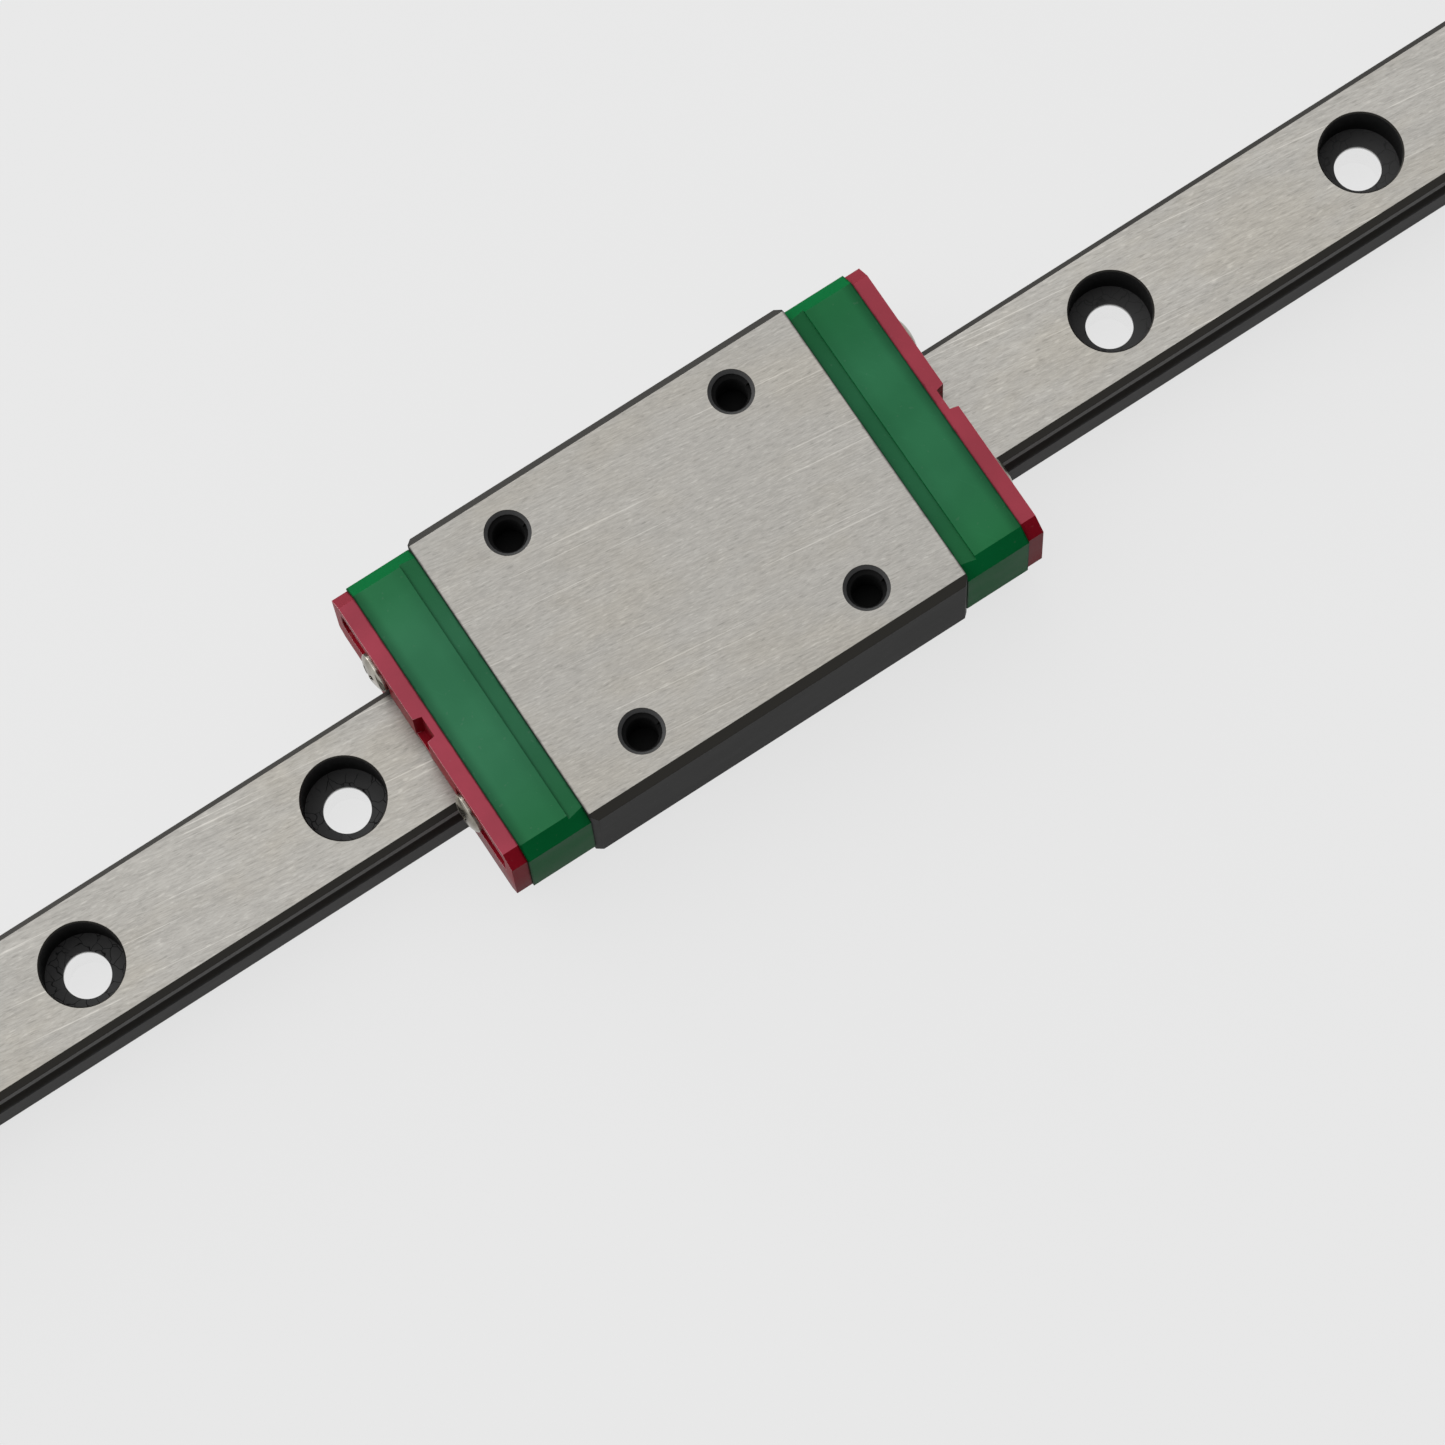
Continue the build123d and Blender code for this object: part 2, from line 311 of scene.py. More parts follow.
def build_seam_grime():
    inputs = [("Middle", float_socket, 0.0), ("Block End", float_socket, 0.011)]
    inputs += [("Cap End", float_socket, 0.0145), ("Width", float_socket, 0.0001)]
    tree, given, result = new_tree("seam_grime", "ShaderNodeTree", inputs, [("Grime", float_socket)])
    source = add_node(tree, "ShaderNodeTexCoord")
    x = add_node(tree, "ShaderNodeSeparateXYZ", {0: source.outputs["Object"]}).outputs["X"]
    reach = calculate(tree, "ABSOLUTE", calculate(tree, "SUBTRACT", x, given["Middle"]))
    gaps = []
    for seam in ("Block End", "Cap End"):
        gaps.append(calculate(tree, "ABSOLUTE", calculate(tree, "SUBTRACT", reach, given[seam])))
    ragged = noise(tree, stretched(tree, 0.0, 900, 1500), 1.0, 3.0, 0.6)
    gap = calculate(tree, "MULTIPLY", calculate(tree, "MINIMUM", *gaps), ragged)
    far = calculate(tree, "MULTIPLY", given["Width"], 0.5)
    tree.links.new(ramp(tree, gap, 0.0, far, 1.0, 0.0), result.inputs["Grime"])
    return tree


hole_distance = build_hole_distance()
seam_grime = build_seam_grime()
seam_places = {"Middle": carriage_x, "Block End": block_high[0] - carriage_x}
seam_places |= {"Cap End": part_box("end_cap_right")[1][0] - carriage_x, "Width": 0.1 * mm}
print("seams, mm from the middle:", [round(seam_places[seam] / mm, 2) for seam in ("Block End", "Cap End")])

# %% [markdown]
# The dark skin isn't even: it is cloudy, with specks where it is thin and faint lines from rolling.
# The moulded plastics need something else, the fine ripple of a tool's surface, clouds of slightly
# different gloss and a few dust specks. Each is one group that the materials then share.


# %% Dark skin and moulded skin groups
def build_dark_skin():
    inputs = [("Cloud", float_socket, 0.5), ("Specks", float_socket, 0.5)]
    outputs = [("Tone", float_socket), ("Speck", float_socket), ("Height", float_socket)]
    tree, given, result = new_tree("dark_skin", "ShaderNodeTree", inputs, outputs)
    clouds = noise(tree, stretched(tree, 0.0, 160, 420), 1.0, 4.0, 0.6)
    drawn = noise(tree, stretched(tree, 0.0, 250, 7000), 1.0, 2.0, 0.5)
    grit = noise(tree, stretched(tree, 0.0, 6500, 6500), 1.0, 1.0, 0.5)
    tone = calculate(tree, "MULTIPLY", ramp(tree, clouds, 0.3, 0.7), given["Cloud"])
    tone = calculate(tree, "MULTIPLY_ADD", drawn, 0.35, tone)
    speck = calculate(tree, "MULTIPLY", ramp(tree, grit, 0.7, 0.78), given["Specks"])
    tree.links.new(tone, result.inputs["Tone"])
    tree.links.new(speck, result.inputs["Speck"])
    tree.links.new(calculate(tree, "ADD", drawn, grit), result.inputs["Height"])
    return tree


def build_moulded_skin():
    inputs = [("Cloud", float_socket, 0.5), ("Dust", float_socket, 0.5)]
    outputs = [("Tone", float_socket), ("Dust", float_socket), ("Height", float_socket)]
    tree, given, result = new_tree("moulded_skin", "ShaderNodeTree", inputs, outputs)
    clouds = noise(tree, stretched(tree, 0.0, 180, 260), 1.0, 3.0, 0.5)
    ripple = noise(tree, stretched(tree, 0.0, 2600, 2600), 1.0, 3.0, 0.6)
    rubs = noise(tree, stretched(tree, radians(55), 900, 7000), 1.0, 1.0, 0.5)
    grit = noise(tree, stretched(tree, 0.0, 5200, 5200), 1.0, 0.0, 0.5)
    tone = calculate(tree, "MULTIPLY", ramp(tree, clouds, 0.3, 0.7), given["Cloud"])
    dust = calculate(tree, "MULTIPLY", ramp(tree, grit, 0.78, 0.84), given["Dust"])
    rubbed = calculate(tree, "MULTIPLY", ramp(tree, rubs, 0.66, 0.8), 0.25)
    tree.links.new(calculate(tree, "ADD", tone, rubbed), result.inputs["Tone"])
    tree.links.new(dust, result.inputs["Dust"])
    tree.links.new(calculate(tree, "ADD", ripple, rubs), result.inputs["Height"])
    return tree


dark_skin = build_dark_skin()
moulded_skin = build_moulded_skin()
print("dark skin nodes:", len(dark_skin.nodes), "moulded skin nodes:", len(moulded_skin.nodes))

# %% [markdown]
# Steel next. Rail and block share one recipe, with their own heights, stains and side tones. The
# bright faces are bare metal whose light grey swings with the grain. The dark skin, partly a real oxide
# and partly painted shade, is matt: there the metal share drops to nothing and a near-black shows
# instead. The chamfers stay metal but are painted near-black, a painted dark reflection. On the rail
# the raceways are painted darker still, a painted shade, and the flank above each paler, a painted
# highlight. The skin on the holes' seats is finely cracked, the walls of the counterbores and of the
# block's tapped holes are painted near-black, partly skin and partly painted shade, and the drilled
# holes are bright.


# %% Steel materials
def grey(value, warmth=0.0):
    return (value * (1 + 0.5 * warmth), value, value * (1 - warmth), 1.0)


def new_material(name):
    material = bpy.data.materials.new(name)
    material.use_nodes = True
    shader = material.node_tree.nodes["Principled BSDF"]
    return material, material.node_tree, shader


def use_group(tree, group, values):
    return add_node(tree, "ShaderNodeGroup", values, node_tree=group).outputs


def set_bump(tree, shader, height, strength, distance):
    sockets = {"Height": height, "Strength": strength, "Distance": distance}
    bump = add_node(tree, "ShaderNodeBump", sockets)
    tree.links.new(bump.outputs[0], shader.inputs["Normal"])


def steel_base(name, top, base, lift, side_tone, stain, scratches):
    material, tree, shader = new_material(name)
    masks = use_group(tree, facing_group, {"Top Height": top, "Base Height": base})
    values = {"Angle": radians(7), "Stain": stain, "Scratches": scratches}
    grain = use_group(tree, ground_grain, values)
    skin = use_group(tree, dark_skin, {"Cloud": 0.6, "Specks": 0.25})
    bright = blend(tree, grain["Tone"], grey(0.11 * lift, 0.07), grey(0.45 * lift, 0.07))
    bright = blend(tree, grain["Stain"], bright, grey(0.96, 0.06), "MULTIPLY")
    # The dark skin: partly a real dark surface, partly painted shade for the dark surroundings these faces
    # mirror.
    dark = blend(tree, skin["Tone"], grey(side_tone * 0.8, 0.02), grey(side_tone * 1.25, 0.02))
    dark = blend(tree, skin["Speck"], dark, grey(0.12))
    # Painted dark reflection: the metal chamfers are painted near-black for the dark surroundings they
    # mirror.
    dark = blend(tree, masks["Chamfer"], dark, grey(0.035, 0.1))
    dark = blend(tree, masks["End"], dark, grey(0.11, 0.02))
    colour = blend(tree, masks["Ground"], dark, bright)
    metal = calculate(tree, "MAXIMUM", masks["Ground"], masks["Chamfer"])
    tree.links.new(ramp(tree, masks["Ground"], 0.0, 1.0, 0.45, 0.32), shader.inputs["Roughness"])
    shader.inputs["Specular IOR Level"].default_value = 0.02
    height = blend(tree, masks["Ground"], skin["Height"], grain["Height"])
    set_bump(tree, shader, height, 0.25, 0.004 * mm)
    return material, tree, shader, colour, metal


def within(tree, value, low, high, edge):
    above = ramp(tree, value, low - edge, low + edge)
    return calculate(tree, "MULTIPLY", above, ramp(tree, value, high - edge, high + edge, 1.0, 0.0))


def cracks(tree, scale, width):
    place = add_node(tree, "ShaderNodeTexCoord").outputs["Object"]
    warp = add_node(tree, "ShaderNodeTexNoise", {"Vector": place, "Scale": scale * 0.8, "Detail": 2.0})
    bent = blend(tree, 0.0006, place, warp.outputs["Color"])
    sockets = {"Vector": bent, "Scale": scale}
    cells = add_node(tree, "ShaderNodeTexVoronoi", sockets, feature="DISTANCE_TO_EDGE")
    some = ramp(tree, noise(tree, place, scale * 0.5), 0.4, 0.5)
    return calculate(tree, "MULTIPLY", ramp(tree, cells.outputs["Distance"], 0.0, width, 1.0, 0.0), some)


def without(tree, mask, gone):
    return calculate(tree, "MULTIPLY", mask, calculate(tree, "SUBTRACT", 1.0, gone))


# Painted shade and highlight on the rail's sides: the raceways are painted darker and the flank above each
# paler.
def paint_flank_shade_and_highlight(tree, place, colour, metal, top):
    edge = 0.03 * mm
    aside = calculate(tree, "ABSOLUTE", place["Y"])
    sunk = ramp(tree, aside, rail_high[1] - 0.1 * mm, rail_high[1] - edge, 1.0, 0.0)
    in_groove = within(tree, place["Z"], groove_low, groove_high, edge)
    in_groove = calculate(tree, "MULTIPLY", sunk, in_groove)
    # painted shade in the raceway
    colour = blend(tree, in_groove, colour, grey(0.06, 0.1))
    on_flank = within(tree, place["Z"], flank_low, top - flank_drop, edge)
    # painted highlight on the flank above the raceway
    colour = blend(tree, without(tree, on_flank, sunk), colour, grey(0.16, 0.04))
    return colour, without(tree, metal, in_groove)


def line_rail_holes(tree, x, hole, colour, drill, bore, top, seat):
    edge = 0.03 * mm
    in_bore = within(tree, hole["Distance"], -1.0, bore + 2 * edge, edge)
    below_rim = ramp(tree, hole["Height"], top - 0.12 * mm, top - 0.08 * mm, 1.0, 0.0)
    above_seat = ramp(tree, hole["Height"], seat - 2 * edge, seat - edge)
    in_bore = calculate(tree, "MULTIPLY", calculate(tree, "MULTIPLY", in_bore, below_rim), above_seat)
    on_seat = within(tree, hole["Height"], seat - edge, seat + edge, 0.3 * edge)
    to_right = ramp(tree, x, carriage_x - 10 * mm, carriage_x + 10 * mm, 1.0, 0.35)
    cracked = calculate(tree, "MULTIPLY", on_seat, to_right)
    cracked = calculate(tree, "MULTIPLY", cracks(tree, 1500, 0.04), cracked)
    # Counterbore walls near-black: partly the dark skin, partly painted shade; the seats keep the skin's
    # grey.
    bore_skin_and_shade = blend(tree, on_seat, grey(0.018), grey(0.075))
    bore_skin_and_shade = blend(tree, cracked, bore_skin_and_shade, grey(0.006))
    below_seat = ramp(tree, hole["Height"], seat * 0.8, seat - edge, 1.0, 0.0)
    in_drill = within(tree, hole["Distance"], -1.0, drill + edge, 0.5 * edge)
    in_drill = calculate(tree, "MULTIPLY", in_drill, below_seat)
    colour = blend(tree, in_bore, colour, bore_skin_and_shade)
    return blend(tree, in_drill, colour, grey(0.98)), in_bore, in_drill


def build_rail_steel(first, pitch, top, drill, bore, seat):
    finish = {"lift": 1.07, "side_tone": 0.086, "stain": 0.6, "scratches": 0.3}
    material, tree, shader, colour, metal = steel_base("rail_steel", top, 0.0, **finish)
    source = add_node(tree, "ShaderNodeTexCoord")
    place = add_node(tree, "ShaderNodeSeparateXYZ", {0: source.outputs["Object"]}).outputs
    colour, metal = paint_flank_shade_and_highlight(tree, place, colour, metal, top)
    hole = use_group(tree, hole_distance, {"First": first, "Pitch": pitch})
    holes = line_rail_holes(tree, place["X"], hole, colour, drill, bore, top, seat)
    colour, in_bore, in_drill = holes
    matt = shader.inputs["Roughness"].links[0].from_socket
    gloss = calculate(tree, "MULTIPLY", matt, ramp(tree, in_drill, 0.0, 1.0, 1.0, 0.2))
    tree.links.new(gloss, shader.inputs["Roughness"])
    metal = calculate(tree, "MAXIMUM", without(tree, metal, in_bore), in_drill)
    tree.links.new(colour, shader.inputs["Base Color"])
    tree.links.new(metal, shader.inputs["Metallic"])
    return material


def build_block_steel(first, pitch, side, top, rim):
    finish = {"lift": 1.0, "side_tone": 0.036, "stain": 0.5, "scratches": 0.25}
    material, tree, shader, colour, metal = steel_base("block_steel", top, block_low[2], **finish)
    hole = use_group(tree, hole_distance, {"First": first, "Pitch": pitch, "Side": side})
    edge = 0.02 * mm
    in_hole = within(tree, hole["Distance"], -1.0, rim + edge, edge)
    in_depth = within(tree, hole["Height"], top - tap_depth - 0.1 * mm, top - 0.02 * mm, edge)
    in_hole = calculate(tree, "MULTIPLY", in_hole, in_depth)
    on_rim = ramp(tree, hole["Height"], top - 0.22 * mm, top - 0.17 * mm)
    # Painted shade: inside the tapped holes is painted near-black; the countersink rims are dark grey.
    colour = blend(tree, in_hole, colour, blend(tree, on_rim, grey(0.014), grey(0.075)))
    grime = calculate(tree, "MULTIPLY", use_group(tree, seam_grime, seam_places)["Grime"], 0.8)
    tree.links.new(blend(tree, grime, colour, grey(0.02)), shader.inputs["Base Color"])
    tree.links.new(without(tree, metal, in_hole), shader.inputs["Metallic"])
    return material


groove_low = 2.3 * mm
groove_high = 3.9 * mm
flank_low = 3.88 * mm
flank_drop = 0.38 * mm
tap_pattern = mounts["carriage_holes"]["dims"]
tap_long = tap_pattern["spacing_x_mm"] * mm
tap_wide = tap_pattern["spacing_y_mm"] * mm
drill_radius = tap_pattern["hole_r_mm"] * mm
rim_radius = 1.175 * mm
tap_depth = 2.5 * mm
hole_pitch = 15 * mm
rail_hole_radius = mounts["rail_holes_45"]["dims"]["hole_r_mm"] * mm
bore_radius = 2.1 * mm
bore_depth = 2.3 * mm
rail_steel = build_rail_steel(
    hole_pitch / 2, hole_pitch, rail_high[2], rail_hole_radius, bore_radius, rail_high[2] - bore_depth
)
block_steel = build_block_steel(carriage_x + tap_long / 2, tap_long, tap_wide / 2, block_high[2], rim_radius)
print("steels:", rail_steel.name, block_steel.name)

# %% [markdown]
# The end caps are green and the seals red, both injection moulded. Such plastic is saturated in
# itself. Its level faces get a paler, greyer colour instead, a painted sheen that stands for the
# softbox's reflection, and a few dust specks lie on all faces. So each plastic has a body colour and a
# sheen colour, and the facing mask says where the painted sheen lies. It is dimmer to the right, and
# on the caps it is painted darker along the step next to the block and towards their edges, a painted
# shade. The seals get a painted highlight along their outer top rims and a painted sheen on their
# far-facing sides.


# %% Plastic materials
block_reach, cap_reach = seam_places["Block End"], seam_places["Cap End"]
seal_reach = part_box("end_seal_right")[1][0] - carriage_x
cap_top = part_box("end_cap_right")[1][2]
black = (0.0, 0.0, 0.0, 1)
# Painted sheen colour for the seals' far-facing sides and painted highlight colour for their outer top rims.
far_sheen_red = (0.25, 0.035, 0.05, 1)
rim_highlight_red = (0.75, 0.42, 0.44, 1)


# Painted shade on the caps: a dark line at the step next to the block, darker near the block and towards the
# caps' outer ends.
def crown_shade(tree, reach):
    strip = ramp(tree, reach, block_reach + 0.85 * mm, block_reach + 0.91 * mm, 0.86, 1.0)
    rise = ramp(tree, reach, block_reach + 0.9 * mm, block_reach + 1.7 * mm, 0.89, 1.0)
    fall = ramp(tree, reach, cap_reach - 0.7 * mm, cap_reach, 1.0, 0.62)
    crown = calculate(tree, "MULTIPLY", calculate(tree, "MULTIPLY", strip, rise), fall)
    return calculate(tree, "MAXIMUM", crown, calculate(tree, "GREATER_THAN", reach, cap_reach))


# Painted sheen: the paler colour on level faces stands for the softbox's reflection. It is bluer in the
# middle of the caps, yellower towards their sides and dimmer to the right.
def paint_top_sheen(tree, place, reach, middle, end, right_dimming):
    outward = ramp(tree, calculate(tree, "ABSOLUTE", place["Y"]), 3 * mm, 8 * mm)
    sheen_colour = blend(tree, outward, middle, end)
    to_right = ramp(tree, place["X"], carriage_x - 5 * mm, carriage_x + 5 * mm)
    sheen_colour = blend(tree, to_right, sheen_colour, right_dimming, "MULTIPLY")
    return blend(tree, crown_shade(tree, reach), black, sheen_colour)


# Painted sheen and highlight on the seals: faces turned to the far side get a paler red, and the bevel on the
# outer top rim a pale pink highlight.
def paint_seal_sheen(tree, normal, reach, colour):
    facing = add_node(tree, "ShaderNodeSeparateXYZ", {0: normal}).outputs
    colour = blend(tree, ramp(tree, facing["Y"], 0.4, 0.6, 0.0, 0.9), colour, far_sheen_red)
    rim = within(tree, calculate(tree, "ABSOLUTE", facing["X"]), 0.25, 0.92, 0.06)
    rim = calculate(tree, "MULTIPLY", rim, ramp(tree, facing["Z"], 0.2, 0.4))
    outermost = ramp(tree, reach, seal_reach - 0.3 * mm, seal_reach - 0.1 * mm)
    return blend(tree, calculate(tree, "MULTIPLY", rim, outermost), colour, rim_highlight_red)


def build_plastic(name, body, top_sheen, roughness, sheen_and_highlight=False):
    material, tree, shader = new_material(name)
    masks = use_group(tree, facing_group, {})
    skin = use_group(tree, moulded_skin, {"Cloud": 0.8, "Dust": 0.05})
    source = add_node(tree, "ShaderNodeTexCoord").outputs
    place = add_node(tree, "ShaderNodeSeparateXYZ", {0: source["Object"]}).outputs
    reach = calculate(tree, "ABSOLUTE", calculate(tree, "SUBTRACT", place["X"], carriage_x))
    # The painted sheen lies only on the level faces near the top.
    on_top = ramp(tree, place["Z"], cap_top - 1.6 * mm, cap_top - 0.6 * mm)
    level = calculate(tree, "MULTIPLY", masks["Level"], on_top)
    colour = blend(tree, level, body, paint_top_sheen(tree, place, reach, *top_sheen))
    lighter = blend(tree, 1.0, colour, (1.3, 1.2, 1.24, 1), "MULTIPLY")
    colour = blend(tree, skin["Tone"], colour, lighter)
    colour = blend(tree, skin["Dust"], colour, grey(0.3))
    # the seals get their painted sheen and highlight
    if sheen_and_highlight:
        colour = paint_seal_sheen(tree, source["Normal"], reach, colour)
    grime = calculate(tree, "MULTIPLY", use_group(tree, seam_grime, seam_places)["Grime"], 0.7)
    darker = blend(tree, 1.0, colour, (0.12, 0.12, 0.12, 1), "MULTIPLY")
    tree.links.new(blend(tree, grime, colour, darker), shader.inputs["Base Color"])
    gloss = ramp(tree, skin["Tone"], 0.0, 1.0, roughness - 0.05, roughness + 0.06)
    tree.links.new(gloss, shader.inputs["Roughness"])
    shader.inputs["Specular IOR Level"].default_value = 0.01
    set_bump(tree, shader, skin["Height"], 0.2, 0.006 * mm)
    return material


green_body = (0.0026, 0.128, 0.033, 1)
red_body = (0.25, 0.007, 0.016, 1)
# Painted sheen colours for the level faces: middle, sides, and the dimming to the right.
green_top_sheen = (0.037, 0.178, 0.084, 1), (0.028, 0.170, 0.067, 1), (0.74, 0.885, 0.80, 1)
red_top_sheen = (0.350, 0.058, 0.083, 1), (0.350, 0.058, 0.083, 1), (0.93, 0.87, 0.85, 1)
cap_green = build_plastic("cap_green", green_body, green_top_sheen, 0.36)
seal_red = build_plastic("seal_red", red_body, red_top_sheen, 0.34, sheen_and_highlight=True)
print("plastics:", cap_green.name, seal_red.name)

# %% [markdown]
# Screws are nickel plated and the balls are polished, so both are bright metal with a little tarnish
# here and there. Their colour varies slowly, and fine turning lines show on the screws' heads.


# %% Bright metal materials
def build_bright_metal(name, dull, bright, roughness):
    material, tree, shader = new_material(name)
    skin = use_group(tree, dark_skin, {"Cloud": 1.0, "Specks": 0.2})
    tree.links.new(blend(tree, skin["Tone"], dull, bright), shader.inputs["Base Color"])
    gloss = ramp(tree, skin["Tone"], 0.0, 1.0, roughness + 0.1, roughness)
    tree.links.new(gloss, shader.inputs["Roughness"])
    shader.inputs["Metallic"].default_value = 1.0
    set_bump(tree, shader, skin["Height"], 0.15, 0.003 * mm)
    return material


screw_nickel = build_bright_metal("screw_nickel", grey(0.2, 0.16), grey(0.44, 0.12), 0.2)
ball_steel = build_bright_metal("ball_steel", grey(0.55), grey(0.75), 0.08)
print("materials:", [material.name for material in bpy.data.materials])

# %% [markdown]
# Shapes start here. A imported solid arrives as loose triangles, so a copy of it is merged and its flat
# faces are joined again. Real edges are never perfectly sharp, and a bevel under a tenth of a
# millimetre wide catches the light as they do. The caps and the seals are dressed so. A thin lip,
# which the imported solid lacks, closes the foot of each seal's notch just above the rail, so a small
# box is joined on there.


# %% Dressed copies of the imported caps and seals
def link(name, mesh):
    piece = bpy.data.objects.new(name, mesh)
    bpy.context.collection.objects.link(piece)
    return piece


def round_edges(piece, width, segments=2, angle=28):
    piece.data.shade_smooth()
    piece.data.set_sharp_from_angle(angle=radians(angle))
    bevel = piece.modifiers.new("worn edges", "BEVEL")
    bevel.width = width
    bevel.segments = segments
    bevel.limit_method = "ANGLE"
    bevel.angle_limit = radians(angle)
    flat = piece.modifiers.new("flat faces", "WEIGHTED_NORMAL")
    flat.keep_sharp = True


def finish_piece(piece, material, body, slot, *nodes):
    piece.data.materials.clear()
    piece.data.materials.append(material)
    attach(piece, body)
    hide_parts(*nodes)
    print(piece.name, "faces:", len(piece.data.polygons))


def merged_copy(node, name):
    piece = link(name, frame["nodes"][node].data.copy())
    shape = bmesh.new()
    shape.from_mesh(piece.data)
    bmesh.ops.remove_doubles(shape, verts=shape.verts, dist=0.0005 * mm)
    bmesh.ops.dissolve_limit(shape, angle_limit=radians(1), verts=shape.verts, edges=shape.edges)
    shape.to_mesh(piece.data)
    shape.free()
    return piece


lip_size = Vector((0.47, 1.42, 0.3)) * mm
lip_inset = 0.03 * mm
lip_gap = 0.14 * mm


def add_lip(piece, node):
    low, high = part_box(node)
    outward = 1 if high[0] > carriage_x else -1
    outer = high[0] if outward > 0 else low[0]
    middle_x = outer - outward * (lip_size.x / 2 + lip_inset)
    middle = Vector((middle_x, 0, rail_high[2] + lip_gap + lip_size.z / 2))
    shape = bmesh.new()
    bmesh.ops.create_cube(shape, matrix=Matrix.Translation(middle) @ Matrix.Diagonal((*lip_size, 1)))
    lip = link("lip", bpy.data.meshes.new("lip"))
    shape.to_mesh(lip.data)
    shape.free()
    join = piece.modifiers.new("lip", "BOOLEAN")
    join.operation = "UNION"
    join.solver = "EXACT"
    join.object = lip
    seen = piece.evaluated_get(bpy.context.evaluated_depsgraph_get())
    whole = bpy.data.meshes.new_from_object(seen)
    piece.modifiers.remove(join)
    piece.data = whole
    bpy.data.objects.remove(lip)


moulded_pieces = (
    ("end_cap_right", "green_cap_right", cap_green, "cap_plastic", 0.075),
    ("end_cap_left", "green_cap_left", cap_green, "cap_plastic", 0.075),
    ("end_seal_right", "red_seal_right", seal_red, "seal_plastic", 0.07),
    ("end_seal_left", "red_seal_left", seal_red, "seal_plastic", 0.07),
)
for node, name, material, slot, edge in moulded_pieces:
    piece = merged_copy(node, name)
    if "seal" in node:
        add_lip(piece, node)
    round_edges(piece, edge * mm)
    finish_piece(piece, material, "carriage", slot, node)

# %% [markdown]
# The block is a copy too, but its four tapped holes arrive at the drill's size. The thread is cut
# outwards from there, so the walls of the holes move out to the thread's outer diameter, and their
# rims move up the countersink, which keeps its forty-five degrees.

# %% Dressed block with holes at thread diameter
thread_radius = 1.0 * mm
rim_depth = rim_radius - thread_radius
tap_floor = block_high[2] - tap_depth
tap_slack = 0.1 * mm

block = merged_copy("carriage_block", "ground_block")
moved = 0
for corner in block.data.vertices:
    tap_x = carriage_x + (tap_long / 2 if corner.co.x > carriage_x else -tap_long / 2)
    tap_y = tap_wide / 2 if corner.co.y > 0 else -tap_wide / 2
    out = Vector((corner.co.x - tap_x, corner.co.y - tap_y, 0))
    if abs(out.length - drill_radius) < 0.02 * mm and corner.co.z > tap_floor - tap_slack:
        corner.co += out.normalized() * (thread_radius - out.length)
        if corner.co.z > block_high[2] - 0.5 * mm:
            corner.co.z = block_high[2] - rim_depth
        moved += 1
round_edges(block, 0.04 * mm)
finish_piece(block, block_steel, "carriage", "block_steel", "carriage_block")
print("corners moved out:", moved)

# %% [markdown]
# The rail follows a rule: one drawn section, and the same stepped hole again and again. The section
# has a raceway in each side, a pointed arch of two arcs, whose centres lie a little past the ball's
# own so that each touches it at forty-five degrees. Mesh code draws the section and draws it out.

# %% Rail bar
rail_length = rail_high[0] - rail_low[0]
rail_width = rail_high[1] - rail_low[1]
rail_height = rail_high[2] - rail_low[2]
top_chamfer = 0.32 * mm
foot_chamfer = 0.45 * mm
raceway_radius = 0.83 * mm
raceway_height = 3.1 * mm
raceway_y = rail_width / 2 + 0.175 * mm
arc_shift = 0.06 * mm
arc_offset = arc_shift * sqrt(0.5)


def raceway_points(steps=8):
    centre_y = raceway_y + arc_offset
    start = asin(arc_offset / raceway_radius)
    end = acos((centre_y - rail_width / 2) / raceway_radius)
    turns = [start + (end - start) * step / steps for step in range(steps + 1)]
    half = []
    for turn in turns:
        half.append((centre_y - raceway_radius * cos(turn), raceway_radius * sin(turn) - arc_offset))
    lower = [(y, raceway_height - rise) for y, rise in reversed(half)]
    upper = [(y, raceway_height + rise) for y, rise in half[1:]]
    return lower + upper


def build_rail_bar():
    half = rail_width / 2
    right = [(half - foot_chamfer, 0.0), (half, foot_chamfer), *raceway_points()]
    right += [(half, rail_height - top_chamfer), (half - top_chamfer, rail_height)]
    outline = right + [(-y, z) for y, z in reversed(right)]
    shape = bmesh.new()
    ring = [shape.verts.new((rail_low[0], y, z)) for y, z in outline]
    face = shape.faces.new(ring)
    drawn = bmesh.ops.extrude_face_region(shape, geom=[face])["geom"]
    far_corners = [item for item in drawn if isinstance(item, bmesh.types.BMVert)]
    bmesh.ops.translate(shape, verts=far_corners, vec=(rail_length, 0, 0))
    bmesh.ops.recalc_face_normals(shape, faces=shape.faces)
    mesh = bpy.data.meshes.new("ground_rail")
    shape.to_mesh(mesh)
    shape.free()
    return link("ground_rail", mesh)


rail_bar = build_rail_bar()
print("raceway runs up to, mm:", round(max(z for y, z in raceway_points()) / mm, 3))

# %% [markdown]
# A Geometry Nodes tree sets the holes out. One cutter is three round solids on the same axis: the
# drilled hole, the counterbore and a small cone that breaks the rim. It stands on every point of a
# line of points, and one boolean takes all ten from the bar. Pitch and sizes stay named inputs.


# %% Geometry Nodes: stepped holes along the rail
round_steps = 72


def settle(piece, tree, values):
    modifier = piece.modifiers.new(tree.name, "NODES")
    modifier.node_group = tree
    for item in tree.interface.items_tree:
        if item.item_type == "SOCKET" and item.in_out == "INPUT" and item.name in values:
            modifier[item.identifier] = values[item.name]
    seen = piece.evaluated_get(bpy.context.evaluated_depsgraph_get())
    settled = bpy.data.meshes.new_from_object(seen)
    piece.modifiers.remove(modifier)
    piece.data = settled
    return piece


